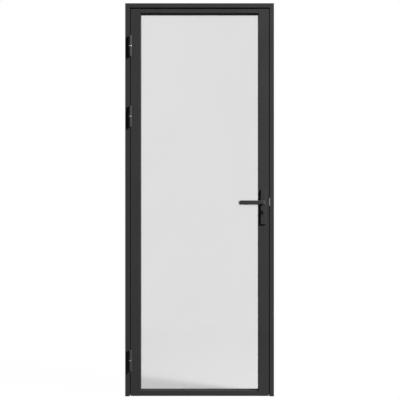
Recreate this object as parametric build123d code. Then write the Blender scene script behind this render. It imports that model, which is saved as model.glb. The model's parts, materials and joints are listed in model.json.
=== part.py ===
"""A steel-framed glass door in its three-sided frame.

Millimetres. +X runs from the hinge side to the lock side, -Y is the side that the hinge barrels and the
thumb-turn are on, and +Z is up. The origin lies on the floor, in the middle of the door's width and in the
middle plane of the closed leaf. The leaf opens towards -Y.
"""

import os
from math import sqrt

from build123d import *

# Overall size and the visible faces
frame_width = 795.0
frame_height = 2100.0
jamb_face = 24.0
side_gap = 4.0
top_gap = 7.0
floor_gap = 2.0
stile_face = 54.5
top_rail_face = 22.0
bottom_rail_face = 28.0

# Steel sections
wall = 2.0
corner_radius = 1.5
leaf_depth = 50.0
frame_depth = 72.0
stop_overlap = 12.0
seal_gap = 4.0
plug_play = 0.2
plug_length = 6.0
flange_face = 12.0
flange_depth = 31.0

# Glazing
pane_thickness = 8.0
gasket_thickness = 3.0
bead_wall = 1.5
pane_edge_gap = 4.0
block_height = 5.0
block_length = 80.0
block_inset = 96.0
gasket_lip = 0.4

# Frame seals
groove_width = 4.0
groove_depth = 3.0
seal_radius = 3.6
seal_hollow = 2.2
seal_skin = 0.8
seal_play = 0.2

# Hinges
bottom_hinge_height = 194.0
middle_hinge_drop = 606.0
top_hinge_drop = 230.0
barrel_radius = 8.0
barrel_length = 110.0
barrel_stand_off = 1.5
hinge_axis_inset = 0.5
pin_radius = 3.98
pin_seat_radius = 4.0
pin_running_radius = 4.06
pin_end_play = 1.0
ring_height = 2.5
ring_radius = 8.4
ring_chamfer = 0.5
ring_play = 0.1
lug_thickness = 2.8
lug_depth = 18.0
hinge_cap_height = 2.0
hinge_cap_radius = 1.2
hinge_cap_plug = 5.0

# Lock and its furniture
lever_height = 1035.0
turn_drop = 49.0
backset = 29.5
latch_throw = 11.5
deadbolt_throw = 12.0
spindle_side = 8.0
turn_spindle_side = 5.0
spindle_play = 0.05
running_play = 0.06
rub_play = 0.3
bolt_play = 0.2
screw_play = 0.2
fitting_play = 0.1

plate_width = 30.0
plate_length = 187.0
plate_thickness = 8.0
plate_above_lever = 71.0
plate_corner_radius = 3.0
plate_edge_radius = 2.5
plate_bolt_inset = 13.0
plate_boss_radius = 4.5
plate_boss_length = 36.0
plate_bolt_radius = 2.5
plate_bolt_head_radius = 4.8
plate_bolt_head_height = 2.7
cross_slot_length = 5.0
cross_slot_width = 1.0
cross_slot_depth = 1.6

lever_reach = 57.0
lever_length = 126.0
lever_bar_height = 21.0
lever_bar_thickness = 14.0
lever_neck_width = 13.0
lever_bend_radius = 14.0
lever_inner_bend = 6.0
lever_tip_radius = 6.0
lever_edge_radius = 3.5
collar_radius = 11.5
collar_height = 4.0
collar_edge = 1.0
journal_radius = 9.0
bush_radius = 11.0

turn_radius = 10.0
turn_disc_height = 5.0
turn_disc_edge = 1.2
turn_blade_width = 7.0
turn_blade_height = 19.0
turn_blade_depth = 13.0
turn_blade_corner = 3.2
turn_blade_edge = 1.5
turn_socket_depth = 9.0
turn_journal_radius = 5.0
coin_slot_width = 2.5
coin_slot_length = 15.0
coin_slot_depth = 2.0
release_socket_depth = 2.0

# Strike and the holes for the wall screws
strike_height = 43.0
strike_rise = 3.5
strike_thickness = 1.0
strike_depth = 40.0
strike_window_play = 1.5
strike_lip = 3.0
strike_stand_out = 1.5
strike_screw_inset = 6.0
strike_screw_radius = 1.8
strike_screw_head_radius = 2.9
strike_screw_head_height = 0.8
strike_screw_length = 10.0
fixing_radius = 4.1
fixing_y = 12.0
fixing_heights = (320.0, 790.0, 1250.0, 1720.0)

# Places that follow from the driving dimensions
half_width = frame_width / 2
leaf_edge = half_width - jamb_face - side_gap
leaf_top = frame_height - jamb_face - top_gap
leaf_bottom = floor_gap
front_y = -leaf_depth / 2
rear_y = leaf_depth / 2
stop_y = rear_y + seal_gap
frame_rear_y = front_y + frame_depth
stop_reach = jamb_face + side_gap + stop_overlap
stile_base = stile_face - flange_face
top_rail_base = top_rail_face - flange_face
bottom_rail_base = bottom_rail_face - flange_face
flange_rear_y = front_y + flange_depth
pane_front_y = flange_rear_y + gasket_thickness
pane_rear_y = pane_front_y + pane_thickness
bead_front_y = pane_rear_y + gasket_thickness
sight_x = leaf_edge - stile_face
pane_half_width = leaf_edge - stile_base - pane_edge_gap
pane_bottom = leaf_bottom + bottom_rail_base + block_height
pane_top = leaf_top - top_rail_base - pane_edge_gap
leaf_middle_z = (leaf_top + leaf_bottom) / 2
groove_middle = jamb_face + side_gap + stop_overlap / 2

spindle_x = leaf_edge - backset
turn_height = lever_height - turn_drop
plate_front_y = front_y - plate_thickness
plate_top = lever_height + plate_above_lever
plate_bottom = plate_top - plate_length
plate_bolt_heights = (plate_top - plate_bolt_inset, plate_bottom + plate_bolt_inset)
inner_jamb_x = half_width - jamb_face
strike_face = inner_jamb_x - strike_thickness

hinge_heights = {
    "bottom": bottom_hinge_height,
    "middle": frame_height - middle_hinge_drop,
    "top": frame_height - top_hinge_drop,
}
hinge_axis_x = -(leaf_edge - hinge_axis_inset)
hinge_axis_y = front_y - barrel_stand_off - barrel_radius
knuckle_length = (barrel_length - ring_height) / 2 - ring_play - hinge_cap_height

# Lock case and forend, inside the lock stile
case_play = 0.3
case_front_x = leaf_edge - wall
case_rear_x = leaf_edge - stile_base + wall + case_play
case_wall = 1.0
case_half_depth = 6.7
case_top = lever_height + 30.0
case_bottom = turn_height - 24.0
works_half_depth = 5.0
works = (-works_half_depth, works_half_depth)
forend_half_width = 10.0
forend_overrun = 22.0
forend_top = case_top + forend_overrun
forend_bottom = case_bottom - forend_overrun
forend_screw_inset = 9.0
forend_screw_radius = 2.0
forend_head_radius = 3.7
forend_head_height = 1.7
forend_screw_length = 10.0
bracket_thickness = 3.0
bracket_half_width = 17.0
bracket_height = 18.0

# Lock works: the lever's follower draws the latch, and the turn's hub pushes the deadbolt
latch_half_height = 9.0
latch_pocket_play = 3.0
latch_bevel = 2.0
latch_rear_x = spindle_x + 21.2
latch_tail_top = lever_height + 24.0
latch_tail_height = 4.5
hook_rear_x = spindle_x + 2.2
hook_thickness = 2.5
hook_bottom = lever_height + 13.0
follower_radius = 9.0
follower_neck_radius = 7.0
follower_arm_width = 4.0
follower_arm_length = 18.0
follower_arm_lean = 30.0
deadbolt_half_height = 8.0
deadbolt_pocket_play = 1.5
deadbolt_inset = 0.3
deadbolt_rear_x = spindle_x + 9.5
deadbolt_shoulder = 6.0
deadbolt_tail = (turn_height + 5.8, turn_height + 13.0)
turn_hub_radius = 5.5
turn_arm_width = 2.2
turn_pin_radius = 1.6
turn_slot_width = 4.2
turn_slot_wall = 1.2
turn_slot_rise = 4.8
post_radius = 2.5
post_x = spindle_x + 12.0
post_z = turn_height + 27.0
spring_wire = 1.2
spring_coil_radius = 3.4
spring_turns = 4
spring_pitch = 1.6


def slab(x, y, z):
    """A box between the two values given for each axis."""
    sizes = [pair[1] - pair[0] for pair in (x, y, z)]
    middle = [(pair[0] + pair[1]) / 2 for pair in (x, y, z)]
    return Pos(*middle) * Box(*sizes)


def rod_x(radius, y, z, x):
    """A round bar along X between the two values of x."""
    return Pos((x[0] + x[1]) / 2, y, z) * Rot(0, 90, 0) * Cylinder(radius, x[1] - x[0])


def rod_y(radius, x, z, y):
    """A round bar along Y between the two values of y."""
    return Pos(x, (y[0] + y[1]) / 2, z) * Rot(90, 0, 0) * Cylinder(radius, y[1] - y[0])


def rod_z(radius, x, y, z):
    """A round bar up Z between the two values of z."""
    return Pos(x, y, (z[0] + z[1]) / 2) * Cylinder(radius, z[1] - z[0])


def polygon(points):
    """A flat face with straight edges through the points."""
    return make_face(Polyline(*points, close=True))


def rounded(face, corners, radius):
    """The face with the named corners rounded."""
    chosen = [
        v
        for v in face.vertices()
        if any(abs(v.X - x) < 0.01 and abs(v.Y - y) < 0.01 for x, y in corners)
    ]
    return fillet(chosen, radius)


def hinge_side_run(section, outer_x, bottom, top):
    """A section, drawn from its outer face inward, run up the hinge side."""
    return extrude(Plane((outer_x, 0, bottom)) * section, top - bottom)


def top_run(section, outer_z, left, right):
    """A section, drawn from its outer face inward, run along the top."""
    place = Plane(origin=(left, 0, outer_z), x_dir=(0, 0, -1), z_dir=(1, 0, 0))
    return extrude(place * section, right - left)


def to_lock_side(shape):
    """The same piece on the other side of the door."""
    return mirror(shape, about=Plane.YZ)


def to_rear(shape):
    """The same piece on the rear face of the leaf."""
    return mirror(shape, about=Plane.XZ)


def to_bottom(shape):
    """The same piece at the other end of the leaf's height."""
    return mirror(shape, about=Plane.XY.offset(leaf_middle_z))


# Frame: a hollow section with a stop behind the leaf, mitred at the top corners
def frame_section():
    groove = (groove_middle - groove_width / 2, groove_middle + groove_width / 2)
    front = [(0, front_y), (jamb_face, front_y)]
    outer = polygon(
        front
        + [
            (jamb_face, stop_y),
            (groove[0], stop_y),
            (groove[0], stop_y + groove_depth),
            (groove[1], stop_y + groove_depth),
            (groove[1], stop_y),
            (stop_reach, stop_y),
            (stop_reach, frame_rear_y),
            (0, frame_rear_y),
        ]
    )
    outer = rounded(outer, front, corner_radius)
    chamber = polygon(
        [
            (wall, front_y + wall),
            (jamb_face - wall, front_y + wall),
            (jamb_face - wall, stop_y + wall),
            (groove[0] - wall, stop_y + wall),
            (groove[0] - wall, stop_y + groove_depth + wall),
            (stop_reach - wall, stop_y + groove_depth + wall),
            (stop_reach - wall, frame_rear_y - wall),
            (wall, frame_rear_y - wall),
        ]
    )
    return outer - chamber


def seal_section():
    """A hollow half-round bulb on a foot that sits in the groove of the stop."""
    foot = Rectangle(groove_width - 2 * seal_play, groove_depth)
    front_half = Rectangle(4 * seal_radius, 2 * seal_radius)
    ring = Circle(seal_radius) - Circle(seal_hollow)
    skin = Rectangle(seal_radius + seal_hollow, seal_skin)
    bulb = Pos(groove_middle, stop_y) * ring & Pos(groove_middle, stop_y - seal_radius) * front_half
    bulb += Pos(groove_middle, stop_y - seal_skin / 2) * skin
    return bulb + Pos(groove_middle, stop_y + groove_depth / 2) * foot


def mitre_cutter(above):
    """A prism that takes away what lies above, or below, the mitre line on the hinge side."""
    reach = 2 * stop_reach
    corner = (-half_width, frame_height)
    inner = (-half_width + reach, frame_height - reach)
    third = (-half_width + reach, frame_height) if above else (-half_width, frame_height - reach)
    return extrude(Plane.XZ * polygon([corner, inner, third]), frame_depth, both=True)


def frame_pieces(section):
    """An upright on each side and a top member with the given section, mitred together."""
    upright = hinge_side_run(section, -half_width, 0, frame_height) - mitre_cutter(True)
    across = top_run(section, frame_height, -half_width, half_width)
    across = across - mitre_cutter(False) - to_lock_side(mitre_cutter(False))
    return upright, to_lock_side(upright), across


def wall_screw_holes(side):
    """The cutters for the wall screws through one jamb."""
    span = sorted((side * (half_width + 1), side * (inner_jamb_x - 1)))
    return [rod_x(fixing_radius, fixing_y, z, span) for z in fixing_heights]


def bolt_pockets():
    """The holes in the lock jamb that the latch bolt and the deadbolt enter."""
    latch = jamb_pocket(lever_height, latch_half_height, latch_pocket_play)
    return latch + jamb_pocket(turn_height, deadbolt_half_height, deadbolt_pocket_play)


def jamb_pocket(height, half_height, play):
    through = (inner_jamb_x - 1, inner_jamb_x + wall + 1)
    side = works_half_depth + play
    return slab(through, (-side, side), (height - half_height - play, height + half_height + play))


def strike_plate():
    """A flat plate with a latch window and a short lip rolled over the jamb's front edge."""
    middle = lever_height + strike_rise
    seat_y = front_y - strike_stand_out
    lip_y = seat_y - strike_thickness
    plan = polygon(
        [
            (strike_face, seat_y + strike_depth),
            (strike_face, lip_y),
            (strike_face + strike_lip, lip_y),
            (strike_face + strike_lip, seat_y),
            (inner_jamb_x, seat_y),
            (inner_jamb_x, seat_y + strike_depth),
        ]
    )
    plan = rounded(plan, [(strike_face, lip_y)], strike_thickness)
    plate = extrude(Plane.XY.offset(middle - strike_height / 2) * plan, strike_height)
    side = works_half_depth + strike_window_play
    reach = latch_half_height + strike_window_play
    window = slab(
        (strike_face - 1, inner_jamb_x + 1),
        (-side, side),
        (lever_height - reach, lever_height + reach),
    )
    return plate - window - [strike_screw_hole(z) for z in strike_screw_heights()]


def strike_screw_heights():
    middle = lever_height + strike_rise
    reach = strike_height / 2 - strike_screw_inset
    return (middle - reach, middle + reach)


def countersunk_x(face, z, head_radius, shank_radius, head_height, length):
    """A countersunk form driven along +X into a face, with its head's top at that face."""
    head = Pos(face + head_height / 2, 0, z) * Rot(0, 90, 0) * Cone(head_radius, shank_radius, head_height)
    return head + rod_x(shank_radius, 0, z, (face + head_height / 2, face + length))


def strike_screw_hole(z):
    """A countersunk hole through the strike plate."""
    play = screw_play / 2
    return countersunk_x(
        strike_face,
        z,
        strike_screw_head_radius + screw_play,
        strike_screw_radius + play,
        strike_screw_head_height + play,
        strike_thickness + 1,
    )


def strike_screw(z):
    """A countersunk screw through the strike plate into the jamb."""
    return countersunk_x(
        strike_face,
        z,
        strike_screw_head_radius,
        strike_screw_radius,
        strike_screw_head_height,
        strike_screw_length,
    )


def lock_jamb_screw_holes():
    span = (inner_jamb_x - 1, inner_jamb_x + wall + 1)
    radius = strike_screw_radius + running_play
    return [rod_x(radius, 0, z, span) for z in strike_screw_heights()]


# Hinges: the frame's knuckle below, the leaf's knuckle above, a ring between them
def hinge_rod(radius, z):
    """A round bar on the hinge's axis between the two values of z."""
    return rod_z(radius, hinge_axis_x, hinge_axis_y, sorted(z))


def knuckle(lug_x, z, bore_radius):
    """A bored barrel with the lug that is welded beside the gap."""
    lug = slab(lug_x, (hinge_axis_y, front_y + lug_depth), z)
    return hinge_rod(barrel_radius, z) + lug - hinge_rod(bore_radius, z)


def frame_knuckle(height):
    top = height - ring_height / 2 - ring_play
    lug_x = (-inner_jamb_x, -inner_jamb_x + lug_thickness)
    return knuckle(lug_x, (top - knuckle_length, top), pin_seat_radius)


def leaf_knuckle(height):
    bottom = height + ring_height / 2 + ring_play
    lug_x = (-leaf_edge - lug_thickness, -leaf_edge)
    return knuckle(lug_x, (bottom, bottom + knuckle_length), pin_running_radius)


def hinge_pin(height):
    reach = knuckle_length - hinge_cap_plug - pin_end_play
    return hinge_rod(pin_radius, (height - reach, height + reach))


def hinge_ring(height):
    """The bright bearing ring, which rests on the frame's knuckle."""
    z = (height - ring_height / 2 - ring_play, height + ring_height / 2)
    disc = hinge_rod(ring_radius, z)
    disc = chamfer(disc.edges().filter_by(GeomType.CIRCLE), ring_chamfer)
    return disc - hinge_rod(pin_running_radius, z)


def hinge_cap(height, direction):
    """A cap that closes a knuckle's outer end: direction 1 is the top one."""
    seat = height + direction * (ring_height / 2 + ring_play + knuckle_length)
    disc = hinge_rod(barrel_radius, (seat, seat + direction * hinge_cap_height))
    rim = disc.edges().filter_by(GeomType.CIRCLE).sort_by(Axis.Z)[-1 if direction > 0 else 0]
    plug = hinge_rod(pin_radius - running_play, (seat, seat - direction * hinge_cap_plug))
    return fillet(rim, hinge_cap_radius) + plug


# Leaf: hollow stiles and rails with a fixed flange in front of the pane
def leaf_outline(base, depth_of_face):
    front = [(0, front_y), (depth_of_face, front_y)]
    face = polygon(
        front
        + [
            (depth_of_face, flange_rear_y),
            (base, flange_rear_y),
            (base, rear_y),
            (0, rear_y),
        ]
    )
    return rounded(face, front, corner_radius)


def leaf_chamber(base, depth_of_face):
    return polygon(
        [
            (wall, front_y + wall),
            (depth_of_face - wall, front_y + wall),
            (depth_of_face - wall, flange_rear_y - wall),
            (base - wall, flange_rear_y - wall),
            (base - wall, rear_y - wall),
            (wall, rear_y - wall),
        ]
    )


def stile():
    section = leaf_outline(stile_base, stile_face) - leaf_chamber(stile_base, stile_face)
    return hinge_side_run(section, -leaf_edge, leaf_bottom + wall, leaf_top - wall)


def rail(face):
    """A rail of the given face at the leaf's top: its ends are notched round the stiles' flanges."""
    base = face - flange_face
    section = leaf_outline(base, face) - leaf_chamber(base, face)
    inner_stile = leaf_edge - stile_base
    tube = top_run(section, leaf_top, -inner_stile, inner_stile)
    notch = slab(
        (-inner_stile - 1, -sight_x),
        (front_y - 1, flange_rear_y),
        (leaf_top - face - 1, leaf_top + 1),
    )
    return tube - notch - to_lock_side(notch)


def stile_cap():
    """A plate that closes the stile's top end, with a plug inside the tube."""
    plate = hinge_side_run(leaf_outline(stile_base, stile_face), -leaf_edge, leaf_top - wall, leaf_top)
    plug_section = offset(leaf_chamber(stile_base, stile_face), -plug_play)
    return plate + hinge_side_run(plug_section, -leaf_edge, leaf_top - wall - plug_length, leaf_top - wall)


def lock_stile_cuts():
    """Every opening in the lock stile: the forend's slot and the holes for spindles and bolts."""
    through = (front_y - 1, rear_y + 1)
    cuts = slab(
        (case_front_x - 1, leaf_edge + 1),
        (-forend_half_width - fitting_play, forend_half_width + fitting_play),
        (forend_bottom - fitting_play, forend_top + fitting_play),
    )
    cuts += rod_y(journal_radius + 1, spindle_x, lever_height, through)
    cuts += rod_y(turn_journal_radius + 1, spindle_x, turn_height, through)
    for z in plate_bolt_heights:
        cuts += rod_y(plate_boss_radius + fitting_play, spindle_x, z, through)
    return cuts


def rectangle_ring(outer_x, bottom, top, inner_x, inner_bottom, inner_top, y):
    """A flat rectangular ring between two values of y."""
    outer = slab((-outer_x, outer_x), y, (bottom, top))
    inner = slab((-inner_x, inner_x), (y[0] - 1, y[1] + 1), (inner_bottom, inner_top))
    return outer - inner


def gasket(y):
    return rectangle_ring(
        pane_half_width,
        pane_bottom,
        pane_top,
        sight_x + gasket_lip,
        leaf_bottom + bottom_rail_face - gasket_lip,
        leaf_top - top_rail_face + gasket_lip,
        y,
    )


def bead_section(base):
    """A hollow clip-in bead between the section's base and the sight line."""
    size = (flange_face, rear_y - bead_front_y)
    middle = (base + size[0] / 2, (bead_front_y + rear_y) / 2)
    hollow = Rectangle(size[0] - 2 * bead_wall, size[1] - 2 * bead_wall)
    return Pos(*middle) * (Rectangle(*size) - hollow)


def upright_bead():
    ends = (leaf_bottom + bottom_rail_base, leaf_top - top_rail_base)
    return hinge_side_run(bead_section(stile_base), -leaf_edge, *ends)


def level_bead(base):
    """The bead along the rail with the given base, at the leaf's top."""
    return top_run(bead_section(base), leaf_top, -sight_x, sight_x)


def setting_block(side):
    middle = side * (pane_half_width - block_inset)
    return slab(
        (middle - block_length / 2, middle + block_length / 2),
        (pane_front_y, pane_rear_y),
        (pane_bottom - block_height, pane_bottom),
    )


def floor_seal():
    """A rubber strip under the leaf with a lip that ends just above the floor."""
    base_half, lip_half, lip_taper = 6.0, 1.5, 1.0
    base_bottom = leaf_bottom - 0.4 * floor_gap
    tip = 0.2 * floor_gap
    section = polygon(
        [
            (-base_half, leaf_bottom),
            (-base_half, base_bottom),
            (-lip_half - lip_taper, base_bottom),
            (-lip_half, tip),
            (lip_half, tip),
            (lip_half + lip_taper, base_bottom),
            (base_half, base_bottom),
            (base_half, leaf_bottom),
        ]
    )
    reach = leaf_edge - wall
    return extrude(Plane.YZ.offset(-reach) * section, 2 * reach)


# Lock: a case behind the forend, with a follower, a latch, a turn hub and a deadbolt
def lock_case():
    """A tray, open at the forend and towards the front, with a hole for each hub."""
    x = (case_rear_x, case_front_x)
    z = (case_bottom, case_top)
    tray = slab(x, (-case_half_depth + case_wall, case_half_depth), z)
    inside = slab(
        (x[0] + case_wall, x[1] + 1),
        (-case_half_depth, case_half_depth - case_wall),
        (z[0] + case_wall, z[1] - case_wall),
    )
    post = rod_y(post_radius, post_x, post_z, (-works_half_depth, case_half_depth - case_wall))
    return tray - inside - hub_holes() + post


def lock_cover():
    x = (case_rear_x, case_front_x)
    plate = slab(x, (-case_half_depth, -case_half_depth + case_wall), (case_bottom, case_top))
    return plate - hub_holes()


def hub_holes():
    y = (-case_half_depth - 1, case_half_depth + 1)
    lever_hub = rod_y(follower_neck_radius + running_play, spindle_x, lever_height, y)
    return lever_hub + rod_y(turn_hub_radius + running_play, spindle_x, turn_height, y)


def forend():
    """The face plate in the stile's edge, with a window for each bolt."""
    plate = slab(
        (case_front_x, leaf_edge),
        (-forend_half_width, forend_half_width),
        (forend_bottom, forend_top),
    )
    windows = forend_window(lever_height, latch_half_height)
    windows += forend_window(turn_height, deadbolt_half_height)
    return plate - windows - [forend_screw_form(z, screw_play / 2, wall + 1) for z in forend_screw_heights()]


def forend_window(height, half_height):
    through = (case_front_x - 1, leaf_edge + 1)
    side = works_half_depth + bolt_play
    reach = half_height + bolt_play
    return slab(through, (-side, side), (height - reach, height + reach))


def forend_screw_heights():
    return (forend_bottom + forend_screw_inset, forend_top - forend_screw_inset)


def forend_screw_form(z, play, length):
    """The screw driven along -X into the forend, enlarged all round by the play."""
    head = Cone(forend_screw_radius + play, forend_head_radius + 2 * play, forend_head_height + play)
    head_middle = leaf_edge - (forend_head_height + play) / 2
    shank = rod_x(forend_screw_radius + play, 0, z, (leaf_edge - length, head_middle))
    return Pos(head_middle, 0, z) * Rot(0, 90, 0) * head + shank


def lock_bracket(z):
    """A plate inside the stile that the forend's screw bites in."""
    rear_x = case_front_x - bracket_thickness
    plate = slab(
        (rear_x, case_front_x),
        (-bracket_half_width, bracket_half_width),
        (z - bracket_height / 2, z + bracket_height / 2),
    )
    return plate - rod_x(forend_screw_radius + spindle_play, 0, z, (rear_x - 1, case_front_x + 1))


def latch_bolt():
    """A bevelled bolt with a tail that passes over the follower and ends in a hook."""
    nose = leaf_edge + latch_throw
    shoulder = case_front_x - wall
    bottom = lever_height - latch_half_height
    bolt = slab((latch_rear_x, nose), works, (bottom, lever_height + latch_half_height))
    bolt += slab((latch_rear_x, shoulder), works, (bottom, latch_tail_top))
    bolt += slab((hook_rear_x, shoulder), works, (latch_tail_top - latch_tail_height, latch_tail_top))
    bolt += slab((hook_rear_x, hook_rear_x + hook_thickness), works, (hook_bottom, latch_tail_top))
    bevel = polygon(
        [
            (leaf_edge + bolt_play, works_half_depth),
            (nose, -works_half_depth + latch_bevel),
            (nose + 1, works_half_depth + 1),
        ]
    )
    return bolt - extrude(Plane.XY.offset(bottom - 1) * bevel, 2 * latch_half_height + 2)


def follower():
    """A hub with a square hole and an arm that draws the latch's hook back."""
    hub = rod_y(follower_radius, spindle_x, lever_height, works)
    hub += rod_y(follower_neck_radius, spindle_x, lever_height, (-case_half_depth, case_half_depth))
    arm = slab((-follower_arm_width / 2, follower_arm_width / 2), works, (0, follower_arm_length))
    hub += Pos(spindle_x, 0, lever_height) * Rot(0, follower_arm_lean, 0) * arm
    return hub - square_hole(spindle_side, lever_height, 2 * case_half_depth)


def square_hole(side, z, length):
    """A cutter for a square spindle's hole, centred on the leaf's middle plane."""
    size = side + 2 * spindle_play
    return Pos(spindle_x, 0, z) * Box(size, length + 2, size)


def turn_hub():
    """A small hub whose arm stands at 45 degrees at rest: its pin moves the deadbolt by its slot."""
    pin_reach = deadbolt_throw / 2
    arm_length = pin_reach * sqrt(2)
    hub = rod_y(turn_hub_radius, spindle_x, turn_height, (-case_half_depth, case_half_depth))
    arm = slab((-turn_arm_width / 2, turn_arm_width / 2), works, (0, arm_length))
    hub += Pos(spindle_x, 0, turn_height) * Rot(0, -45, 0) * arm
    hub += rod_y(turn_pin_radius, spindle_x - pin_reach, turn_height + pin_reach, works)
    return hub - square_hole(turn_spindle_side, turn_height, 2 * case_half_depth)


def deadbolt():
    """A square bolt with a tail above the hub, slotted for the hub's pin."""
    slot_middle = spindle_x - deadbolt_throw / 2
    slot_x = (slot_middle - turn_slot_width / 2, slot_middle + turn_slot_width / 2)
    z = (turn_height - deadbolt_half_height, turn_height + deadbolt_half_height)
    bolt = slab((deadbolt_rear_x, leaf_edge - deadbolt_inset), works, z)
    bolt += slab((deadbolt_rear_x, deadbolt_rear_x + deadbolt_shoulder), works, (z[0], deadbolt_tail[1]))
    bolt += slab((slot_x[0] - turn_slot_wall, deadbolt_rear_x + 1), works, deadbolt_tail)
    slot_z = (deadbolt_tail[0] - 1, deadbolt_tail[0] + turn_slot_rise)
    return bolt - slab(slot_x, (-works_half_depth - 1, works_half_depth + 1), slot_z)


def follower_spring():
    """A spring of square wire on the case's post, between the two hubs."""
    length = spring_turns * spring_pitch
    helix = Helix(pitch=spring_pitch, height=length, radius=spring_coil_radius)
    start = Plane(origin=(post_x, -length / 2, post_z), x_dir=(1, 0, 0), z_dir=(0, 1, 0))
    helix = start * helix
    return sweep(Plane(helix @ 0, z_dir=helix % 0) * Rectangle(spring_wire, spring_wire), path=helix)


# Furniture on the two faces of the lock stile
def plate_blank():
    """The front plate's outer form, with its front edges rounded and its holes open."""
    x = (spindle_x - plate_width / 2, spindle_x + plate_width / 2)
    body = slab(x, (plate_front_y, front_y), (plate_bottom, plate_top))
    body = fillet(body.edges().filter_by(Axis.Y), plate_corner_radius)
    body = fillet(body.faces().sort_by(Axis.Y)[0].edges(), plate_edge_radius)
    through = (plate_front_y - 1, front_y + 1)
    body -= rod_y(bush_radius, spindle_x, lever_height, through)
    return body - rod_y(turn_journal_radius + running_play, spindle_x, turn_height, through)


def front_plate():
    """The front plate carries two threaded bosses that the rear plate's bolts reach."""
    plate = plate_blank()
    for z in plate_bolt_heights:
        plate += rod_y(plate_boss_radius, spindle_x, z, (front_y - 1, front_y + plate_boss_length))
        bore = (front_y, front_y + plate_boss_length + 1)
        plate -= rod_y(plate_bolt_radius + spindle_play, spindle_x, z, bore)
    return plate


def rear_plate():
    """The rear plate has a countersunk hole for each bolt."""
    plate = to_rear(plate_blank())
    for z in plate_bolt_heights:
        plate -= plate_bolt_form(z, screw_play, rear_y - 1)
    return plate


def plate_bolt_form(z, play, tip_y):
    """A bolt driven along -Y into the rear plate, enlarged all round by the play."""
    face = rear_y + plate_thickness
    height = plate_bolt_head_height + play / 2
    head = Cone(plate_bolt_radius + play, plate_bolt_head_radius + play, height)
    shank = rod_y(plate_bolt_radius + play, spindle_x, z, (tip_y, face - height / 2))
    return Pos(spindle_x, face - height / 2, z) * Rot(-90, 0, 0) * head + shank


def plate_bolt(z):
    """A countersunk bolt from the rear plate into the front plate's boss, with a cross slot."""
    face = rear_y + plate_thickness
    slot_y = (face - cross_slot_depth, face + 1)
    long, narrow = cross_slot_length / 2, cross_slot_width / 2
    slots = slab((spindle_x - long, spindle_x + long), slot_y, (z - narrow, z + narrow))
    slots += slab((spindle_x - narrow, spindle_x + narrow), slot_y, (z - long, z + long))
    return plate_bolt_form(z, 0, front_y + plate_thickness) - slots


def front_bush():
    y = (plate_front_y, front_y)
    ring = rod_y(bush_radius, spindle_x, lever_height, y)
    return ring - rod_y(journal_radius + running_play, spindle_x, lever_height, y)


def front_lever():
    """A flat bar bent at the neck, with a round collar and a journal in the plate."""
    outer_y = front_y - lever_reach
    inner_y = outer_y + lever_bar_thickness
    tip_x = spindle_x - lever_length
    neck = (spindle_x - lever_neck_width / 2, spindle_x + lever_neck_width / 2)
    collar_front = plate_front_y - rub_play - collar_height
    plan = polygon(
        [
            (neck[1], collar_front),
            (neck[1], outer_y),
            (tip_x, outer_y),
            (tip_x, inner_y),
            (neck[0], inner_y),
            (neck[0], collar_front),
        ]
    )
    plan = rounded(plan, [(neck[1], outer_y)], lever_bend_radius)
    plan = rounded(plan, [(neck[0], inner_y)], lever_inner_bend)
    plan = rounded(plan, [(tip_x, outer_y), (tip_x, inner_y)], lever_tip_radius)
    bar = extrude(Plane.XY.offset(-lever_bar_height / 2) * plan, lever_bar_height)
    rims = [e for e in bar.edges() if abs(e.center().Z) > lever_bar_height / 2 - 0.01]
    rims = [e for e in rims if e.center().Y < collar_front - 0.1]
    bar = Pos(0, 0, lever_height) * fillet(rims, lever_edge_radius)
    collar = rod_y(collar_radius, spindle_x, lever_height, (collar_front, collar_front + collar_height))
    collar = fillet(collar.edges().filter_by(GeomType.CIRCLE).sort_by(Axis.Y)[0], collar_edge)
    journal = rod_y(journal_radius, spindle_x, lever_height, (collar_front, front_y + 1))
    side = spindle_side / 2 + spindle_play
    socket = slab(
        (spindle_x - side, spindle_x + side),
        (inner_y, front_y + 2),
        (lever_height - side, lever_height + side),
    )
    return bar + collar + journal - socket


def lever_spindle():
    reach = -front_y + lever_reach - lever_bar_thickness - screw_play
    side = spindle_side / 2
    return slab(
        (spindle_x - side, spindle_x + side),
        (-reach, reach),
        (lever_height - side, lever_height + side),
    )


def turn_base():
    """The round disc and journal that the thumb-turn and the release share."""
    face = plate_front_y - rub_play
    disc = rod_y(turn_radius, spindle_x, turn_height, (face - turn_disc_height, face))
    disc = fillet(disc.edges().filter_by(GeomType.CIRCLE).sort_by(Axis.Y)[0], turn_disc_edge)
    return disc + rod_y(turn_journal_radius, spindle_x, turn_height, (face, front_y))


def turn_socket(depth):
    """The square hole in a turn, as deep in front of the plate as given."""
    side = turn_spindle_side / 2 + spindle_play
    return slab(
        (spindle_x - side, spindle_x + side),
        (plate_front_y - depth, front_y + 1),
        (turn_height - side, turn_height + side),
    )


def thumb_turn():
    """A disc with a raised blade to grip, upright when the door is unlocked."""
    front = plate_front_y - rub_play - turn_disc_height
    blade = slab(
        (spindle_x - turn_blade_width / 2, spindle_x + turn_blade_width / 2),
        (front - turn_blade_depth, front + 1),
        (turn_height - turn_blade_height / 2, turn_height + turn_blade_height / 2),
    )
    blade = fillet(blade.edges().filter_by(Axis.Y), turn_blade_corner)
    blade = fillet(blade.faces().sort_by(Axis.Y)[0].edges(), turn_blade_edge)
    return turn_base() + blade - turn_socket(turn_socket_depth)


def rear_release():
    """A disc with a coin slot, on the side away from the thumb-turn."""
    face = plate_front_y - rub_play - turn_disc_height
    slot = slab(
        (spindle_x - coin_slot_width / 2, spindle_x + coin_slot_width / 2),
        (face - 1, face + coin_slot_depth),
        (turn_height - coin_slot_length / 2, turn_height + coin_slot_length / 2),
    )
    return to_rear(turn_base() - turn_socket(release_socket_depth) - slot)


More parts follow.
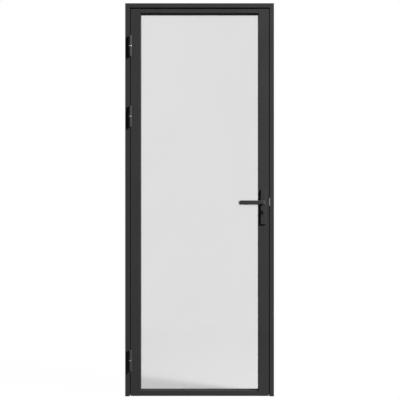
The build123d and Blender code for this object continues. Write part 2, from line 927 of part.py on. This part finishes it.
def turn_spindle():
    side = turn_spindle_side / 2
    return slab(
        (spindle_x - side, spindle_x + side),
        (plate_front_y - turn_socket_depth + screw_play, -plate_front_y + release_socket_depth - screw_play),
        (turn_height - side, turn_height + side),
    )


def group(shapes):
    """Several separate solids of one kind as one piece of the list."""
    return Compound(children=[s for shape in shapes for s in shape.solids()])


def frame_nodes():
    hinge_jamb, lock_jamb, head = frame_pieces(frame_section())
    seals = frame_pieces(seal_section())
    hinge_jamb = hinge_jamb - wall_screw_holes(-1)
    lock_jamb = lock_jamb - wall_screw_holes(1) - bolt_pockets() - lock_jamb_screw_holes()
    nodes = {"hinge_jamb": hinge_jamb, "lock_jamb": lock_jamb, "head": head}
    nodes.update(zip(("hinge_side_seal", "lock_side_seal", "head_seal"), seals))
    nodes["strike_plate"] = strike_plate()
    nodes["strike_screws"] = group([strike_screw(z) for z in strike_screw_heights()])
    return nodes


def hinge_nodes():
    nodes = {}
    for name, height in hinge_heights.items():
        nodes[f"{name}_hinge_frame_knuckle"] = frame_knuckle(height)
        nodes[f"{name}_hinge_leaf_knuckle"] = leaf_knuckle(height)
        nodes[f"{name}_hinge_pin"] = hinge_pin(height)
        nodes[f"{name}_hinge_ring"] = hinge_ring(height)
    heights = hinge_heights.values()
    nodes["hinge_frame_caps"] = group([hinge_cap(height, -1) for height in heights])
    nodes["hinge_leaf_caps"] = group([hinge_cap(height, 1) for height in heights])
    return nodes


def leaf_nodes():
    cap = stile_cap()
    caps = [cap, to_lock_side(cap), to_bottom(cap), to_bottom(to_lock_side(cap))]
    pane = slab((-pane_half_width, pane_half_width), (pane_front_y, pane_rear_y), (pane_bottom, pane_top))
    return {
        "hinge_stile": stile(),
        "lock_stile": to_lock_side(stile()) - lock_stile_cuts(),
        "top_rail": rail(top_rail_face),
        "bottom_rail": to_bottom(rail(bottom_rail_face)),
        "stile_caps": group(caps),
        "glass_pane": pane,
        "setting_blocks": group([setting_block(-1), setting_block(1)]),
        "front_gasket": gasket((flange_rear_y, pane_front_y)),
        "rear_gasket": gasket((pane_rear_y, bead_front_y)),
        "hinge_side_bead": upright_bead(),
        "lock_side_bead": to_lock_side(upright_bead()),
        "top_bead": level_bead(top_rail_base),
        "bottom_bead": to_bottom(level_bead(bottom_rail_base)),
        "floor_seal": floor_seal(),
    }


def lock_nodes():
    screws = [forend_screw_form(z, 0, forend_screw_length) for z in forend_screw_heights()]
    return {
        "lock_case": lock_case(),
        "lock_cover": lock_cover(),
        "forend": forend(),
        "forend_screws": group(screws),
        "lock_brackets": group([lock_bracket(z) for z in forend_screw_heights()]),
        "follower_spring": follower_spring(),
        "follower": follower(),
        "latch_bolt": latch_bolt(),
        "turn_hub": turn_hub(),
        "deadbolt": deadbolt(),
    }


def furniture_nodes():
    return {
        "front_plate": front_plate(),
        "rear_plate": rear_plate(),
        "plate_bolts": group([plate_bolt(z) for z in plate_bolt_heights]),
        "front_bush": front_bush(),
        "rear_bush": to_rear(front_bush()),
        "front_lever": front_lever(),
        "rear_lever": to_rear(front_lever()),
        "lever_spindle": lever_spindle(),
        "thumb_turn": thumb_turn(),
        "rear_release": rear_release(),
        "turn_spindle": turn_spindle(),
    }


os.makedirs("parts", exist_ok=True)
for build in (frame_nodes, hinge_nodes, leaf_nodes, lock_nodes, furniture_nodes):
    for name, shape in build().items():
        export_step(shape, f"parts/{name}.step")
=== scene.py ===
"""Looks of a slim steel-framed glass door: its materials, its light and its camera.

Metres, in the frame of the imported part: +X to the lock side, -Y to the viewer, +Z up.
"""

import json
import math

import bpy
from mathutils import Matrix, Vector


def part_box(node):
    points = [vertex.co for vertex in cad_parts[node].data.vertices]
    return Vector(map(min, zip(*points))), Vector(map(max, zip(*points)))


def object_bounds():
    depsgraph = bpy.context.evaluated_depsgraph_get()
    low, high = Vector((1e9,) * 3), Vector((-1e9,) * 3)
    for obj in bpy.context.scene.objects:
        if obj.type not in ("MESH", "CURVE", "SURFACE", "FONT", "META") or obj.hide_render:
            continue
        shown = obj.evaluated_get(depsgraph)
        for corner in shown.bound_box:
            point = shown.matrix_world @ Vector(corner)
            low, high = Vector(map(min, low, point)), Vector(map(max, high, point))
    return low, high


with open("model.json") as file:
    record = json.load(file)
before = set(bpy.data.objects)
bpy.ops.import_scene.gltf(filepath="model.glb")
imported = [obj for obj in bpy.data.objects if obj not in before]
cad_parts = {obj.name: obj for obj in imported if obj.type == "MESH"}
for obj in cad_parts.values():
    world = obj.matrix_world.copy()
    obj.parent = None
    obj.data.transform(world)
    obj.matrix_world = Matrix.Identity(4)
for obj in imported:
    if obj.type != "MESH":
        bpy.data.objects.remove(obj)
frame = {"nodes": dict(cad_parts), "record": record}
cad_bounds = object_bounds()
nodes = frame["nodes"]

# The photograph: where the door set's top, bottom and middle lie in it, in pixels
IMAGE_SIZE = 400
DOOR_TOP_PIXEL = 3.12
DOOR_BOTTOM_PIXEL = 396.4
DOOR_MIDDLE_PIXEL = 199.58

# The camera, its distance taken from the frame's front face
CAMERA_DISTANCE = 3.8
CAMERA_HEIGHT = 0.97
SENSOR_WIDTH = 36.0
CLIP_END = 50

# The lamps, aimed at the middle of the door, with their power in watts
LIT_POINT = Vector((0, 0, 1.1))
LAMP_DISTANCE = 9
KEY_DIRECTION = Vector((2, -1, 1.2))
KEY_SIZE = 1.3
KEY_POWER = 1700
REAR_DIRECTION = Vector((-1.2, 2, 1))
REAR_SIZE = 2.0
REAR_POWER = 320

# The white surroundings: how white they look to each kind of ray, and what they give as light
WHITE_RAYS = {"Is Camera Ray": 1, "Is Glossy Ray": 1, "Is Transmission Ray": 1}
WORLD_FILL = 0.06
FLOOR_GLOW = {"Is Camera Ray": 0.99, "Is Glossy Ray": 0.62, "Is Transmission Ray": 0.62}
FLOOR_HALF_SIZE = 2.2
FLOOR_TONE = 0.84
FLOOR_BOUNCE = 0.2

# The band in which most of a noise texture's values lie
NOISE_BAND = (0.3, 0.7)

# The finishes, by material slot. Tones are linear, and depths of grain are in metres
POWDER_COATS = {
    "frame_paint": {"tone": (0.0435, 0.0435, 0.044), "roughness": 0.65, "gloss": 0.015, "peel": 0.00002},
    "hinge_paint": {"tone": (0.042, 0.042, 0.0425), "roughness": 0.4, "gloss": 0.08, "peel": 0.00001},
    # The hinge caps' lighter tone is a painted highlight: a lighter copy of the hinge paint stands in for
    # light caught on the caps' rims.
    "hinge_cap_paint": {"tone": (0.055, 0.055, 0.0555), "roughness": 0.4, "gloss": 0.1, "peel": 0.00001},
    "furniture_paint": {"tone": (0.031, 0.031, 0.0315), "roughness": 0.5, "gloss": 0.15, "peel": 0.000008},
}
STEELS = {
    "bright_steel": {"tone": (0.42, 0.42, 0.41), "roughness": 0.3, "stretch": (1, 1, 12)},
    "zinc_steel": {"tone": (0.5, 0.51, 0.52), "roughness": 0.42, "stretch": (3, 3, 3)},
    "spring_steel": {"tone": (0.3, 0.3, 0.31), "roughness": 0.35, "stretch": (2, 9, 2)},
}
MOULDINGS = {
    "seal_rubber": {"tone": (0.018,) * 3, "roughness": 0.7, "grain_scale": 900.0, "grain_depth": 0.00002},
    "black_plastic": {"tone": (0.025,) * 3, "roughness": 0.55, "grain_scale": 1400.0, "grain_depth": 0.00001},
    "nylon": {"tone": (0.05,) * 3, "roughness": 0.4, "grain_scale": 1800.0, "grain_depth": 0.000005},
}
GLASSES = {
    "frosted_glass": {"tone": (0.728,) * 3, "roughness": 0.22, "tooth": 0.000004},
}


# Node helpers
def new_material(name):
    material = bpy.data.materials.new(name)
    material.use_nodes = True
    tree = material.node_tree
    return material, tree, tree.nodes["Principled BSDF"]


def surface_noise(tree, scale, detail=2.0, stretch=(1, 1, 1)):
    """Noise in the rest frame, so it stays on the piece when a joint moves."""
    place = tree.nodes.new("ShaderNodeTexCoord")
    mapping = tree.nodes.new("ShaderNodeMapping")
    mapping.inputs["Scale"].default_value = stretch
    noise = tree.nodes.new("ShaderNodeTexNoise")
    noise.inputs["Scale"].default_value = scale
    noise.inputs["Detail"].default_value = detail
    tree.links.new(place.outputs["Object"], mapping.inputs["Vector"])
    tree.links.new(mapping.outputs["Vector"], noise.inputs["Vector"])
    return noise.outputs["Fac"]


def map_range(tree, value, source, target):
    """The value, taken from the source's range to the target's."""
    node = tree.nodes.new("ShaderNodeMapRange")
    node.inputs["From Min"].default_value = source[0]
    node.inputs["From Max"].default_value = source[1]
    node.inputs["To Min"].default_value = target[0]
    node.inputs["To Max"].default_value = target[1]
    tree.links.new(value, node.inputs["Value"])
    return node.outputs["Result"]


def two_tones(tree, noise, tone, dark, light):
    """A colour that drifts with the noise between two shares of a tone."""
    node = tree.nodes.new("ShaderNodeMix")
    node.data_type = "RGBA"
    node.inputs["A"].default_value = (*[channel * dark for channel in tone], 1)
    node.inputs["B"].default_value = (*[channel * light for channel in tone], 1)
    tree.links.new(map_range(tree, noise, NOISE_BAND, (0, 1)), node.inputs["Factor"])
    return node.outputs["Result"]


def bump(tree, shader, height, distance):
    node = tree.nodes.new("ShaderNodeBump")
    node.inputs["Distance"].default_value = distance
    tree.links.new(height, node.inputs["Height"])
    tree.links.new(node.outputs["Normal"], shader.inputs["Normal"])


def calculate(tree, operation, first, second):
    """A math node's result, from a socket and a second socket or a number."""
    node = tree.nodes.new("ShaderNodeMath")
    node.operation = operation
    tree.links.new(first, node.inputs[0])
    if isinstance(second, (int, float)):
        node.inputs[1].default_value = second
    else:
        tree.links.new(second, node.inputs[1])
    return node.outputs["Value"]


# Materials
def powder_coat(name, tone, roughness, gloss, peel):
    """Baked powder paint: a fine orange peel, and a slight drift in tone and gloss."""
    material, tree, shader = new_material(name)
    drift = surface_noise(tree, scale=5.0, detail=3.0)
    tree.links.new(two_tones(tree, drift, tone, dark=0.94, light=1.06), shader.inputs["Base Color"])
    patches = surface_noise(tree, scale=60.0)
    sheen = map_range(tree, patches, NOISE_BAND, (roughness - 0.04, roughness + 0.04))
    tree.links.new(sheen, shader.inputs["Roughness"])
    shader.inputs["Specular IOR Level"].default_value = gloss
    bump(tree, shader, surface_noise(tree, scale=650.0, detail=3.0), peel)
    return material


def brushed_steel(name, tone, roughness, stretch, scratch=0.00001):
    """Steel with fine brush lines, which run the way in which the stretch is smallest."""
    material, tree, shader = new_material(name)
    shader.inputs["Metallic"].default_value = 1.0
    lines = surface_noise(tree, scale=400.0, detail=4.0, stretch=stretch)
    tree.links.new(two_tones(tree, lines, tone, dark=0.8, light=1.1), shader.inputs["Base Color"])
    sheen = map_range(tree, lines, NOISE_BAND, (roughness - 0.06, roughness + 0.08))
    tree.links.new(sheen, shader.inputs["Roughness"])
    bump(tree, shader, lines, scratch)
    return material


def moulded(name, tone, roughness, grain_scale, grain_depth):
    """Rubber or plastic with a fine moulded grain."""
    material, tree, shader = new_material(name)
    drift = surface_noise(tree, scale=25.0, detail=3.0)
    tree.links.new(two_tones(tree, drift, tone, dark=0.85, light=1.15), shader.inputs["Base Color"])
    shader.inputs["Roughness"].default_value = roughness
    shader.inputs["Specular IOR Level"].default_value = 0.35
    bump(tree, shader, surface_noise(tree, scale=grain_scale), grain_depth)
    return material


def frosted_glass(name, tone, roughness, tooth):
    """Etched glass: rays pass through it and scatter, and its surface has a fine tooth."""
    material, tree, shader = new_material(name)
    cloud = surface_noise(tree, scale=3.0)
    tree.links.new(two_tones(tree, cloud, tone, dark=0.992, light=1.008), shader.inputs["Base Color"])
    shader.inputs["Roughness"].default_value = roughness
    shader.inputs["IOR"].default_value = 1.45
    shader.inputs["Transmission Weight"].default_value = 1.0
    bump(tree, shader, surface_noise(tree, scale=2500.0), tooth)
    return material


def make_materials():
    """Every finish, under the name of its material slot."""
    materials = {}
    for make, looks in (
        (powder_coat, POWDER_COATS),
        (brushed_steel, STEELS),
        (moulded, MOULDINGS),
        (frosted_glass, GLASSES),
    ):
        for name, look in looks.items():
            materials[name] = make(name, **look)
    return materials


def dress(materials):
    """Gives each CAD piece the finish that the record names for it."""
    for subpart in frame["record"]["subparts"]:
        for slot in nodes[subpart["node"]].material_slots:
            slot.material = materials[subpart["material_slot"]]


# Stage
def ray_share(tree, shares):
    """The share given for each kind of ray, and 0 for the other kinds and after a matt surface."""
    path = tree.nodes.new("ShaderNodeLightPath")
    parts = [calculate(tree, "MULTIPLY", path.outputs[kind], share) for kind, share in shares.items()]
    highest = parts[0]
    for part in parts[1:]:
        highest = calculate(tree, "MAXIMUM", highest, part)
    straight = calculate(tree, "LESS_THAN", path.outputs["Diffuse Depth"], 0.5)
    return calculate(tree, "MULTIPLY", highest, straight)


def set_world():
    """White to look at, directly, in a mirror and through glass, and a faint fill light on the door."""
    world = bpy.data.worlds.new("studio")
    bpy.context.scene.world = world
    world.use_nodes = True
    tree = world.node_tree
    background = tree.nodes["Background"]
    background.inputs["Color"].default_value = (1, 1, 1, 1)
    strength = map_range(tree, ray_share(tree, WHITE_RAYS), (0, 1), (WORLD_FILL, 1.0))
    tree.links.new(strength, background.inputs["Strength"])


def white_floor():
    """A share of the floor glows, and the rest takes the light and the shadows.

    Rays that would light the door by way of the floor find only a faint share of its white.
    """
    material, tree, shader = new_material("white_floor")
    shader.inputs["Roughness"].default_value = 0.8
    shader.inputs["Specular IOR Level"].default_value = 0.0
    tone = map_range(tree, ray_share(tree, WHITE_RAYS), (0, 1), (FLOOR_BOUNCE, FLOOR_TONE))
    tree.links.new(tone, shader.inputs["Base Color"])
    glow = tree.nodes.new("ShaderNodeEmission")
    mix = tree.nodes.new("ShaderNodeMixShader")
    tree.links.new(ray_share(tree, FLOOR_GLOW), mix.inputs["Fac"])
    tree.links.new(shader.outputs["BSDF"], mix.inputs[1])
    tree.links.new(glow.outputs["Emission"], mix.inputs[2])
    tree.links.new(mix.outputs["Shader"], tree.nodes["Material Output"].inputs["Surface"])
    return material


def add_floor():
    half, height = FLOOR_HALF_SIZE, cad_bounds[0][2]
    corners = [(-half, -half, height), (half, -half, height), (half, half, height), (-half, half, height)]
    mesh = bpy.data.meshes.new("floor")
    mesh.from_pydata(corners, [], [(0, 1, 2, 3)])
    mesh.materials.append(white_floor())
    floor = bpy.data.objects.new("floor", mesh)
    bpy.context.scene.collection.objects.link(floor)


def add_lamp(name, direction, size, power):
    """A round soft lamp that stands in the given direction from the door."""
    data = bpy.data.lights.new(name, "AREA")
    data.shape = "DISK"
    data.size = size
    data.energy = power
    lamp = bpy.data.objects.new(name, data)
    lamp.location = LIT_POINT + LAMP_DISTANCE * direction.normalized()
    lamp.rotation_euler = (-direction).to_track_quat("-Z", "Y").to_euler()
    bpy.context.scene.collection.objects.link(lamp)


def add_camera():
    """A level camera, shifted so that the door set fills the same rows as in the photograph."""
    low, high = Vector(cad_bounds[0]), Vector(cad_bounds[1])
    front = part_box("hinge_jamb")[0].y
    metres_per_pixel = (high.z - low.z) / (DOOR_BOTTOM_PIXEL - DOOR_TOP_PIXEL)
    span = IMAGE_SIZE * metres_per_pixel
    picture_middle = high.z - (IMAGE_SIZE / 2 - DOOR_TOP_PIXEL) * metres_per_pixel
    side = (IMAGE_SIZE / 2 - DOOR_MIDDLE_PIXEL) * metres_per_pixel
    data = bpy.data.cameras.new("camera")
    data.sensor_width = SENSOR_WIDTH
    data.lens = SENSOR_WIDTH * CAMERA_DISTANCE / span
    data.shift_y = (picture_middle - CAMERA_HEIGHT) / span
    data.clip_end = CLIP_END
    camera = bpy.data.objects.new("camera", data)
    camera.location = (side, front - CAMERA_DISTANCE, CAMERA_HEIGHT)
    camera.rotation_euler = (math.radians(90), 0, 0)
    bpy.context.scene.collection.objects.link(camera)
    bpy.context.scene.camera = camera


dress(make_materials())
set_world()
add_floor()
add_lamp("key", KEY_DIRECTION, KEY_SIZE, KEY_POWER)
add_lamp("rear_fill", REAR_DIRECTION, REAR_SIZE, REAR_POWER)
add_camera()
bpy.context.scene.view_settings.view_transform = "Standard"
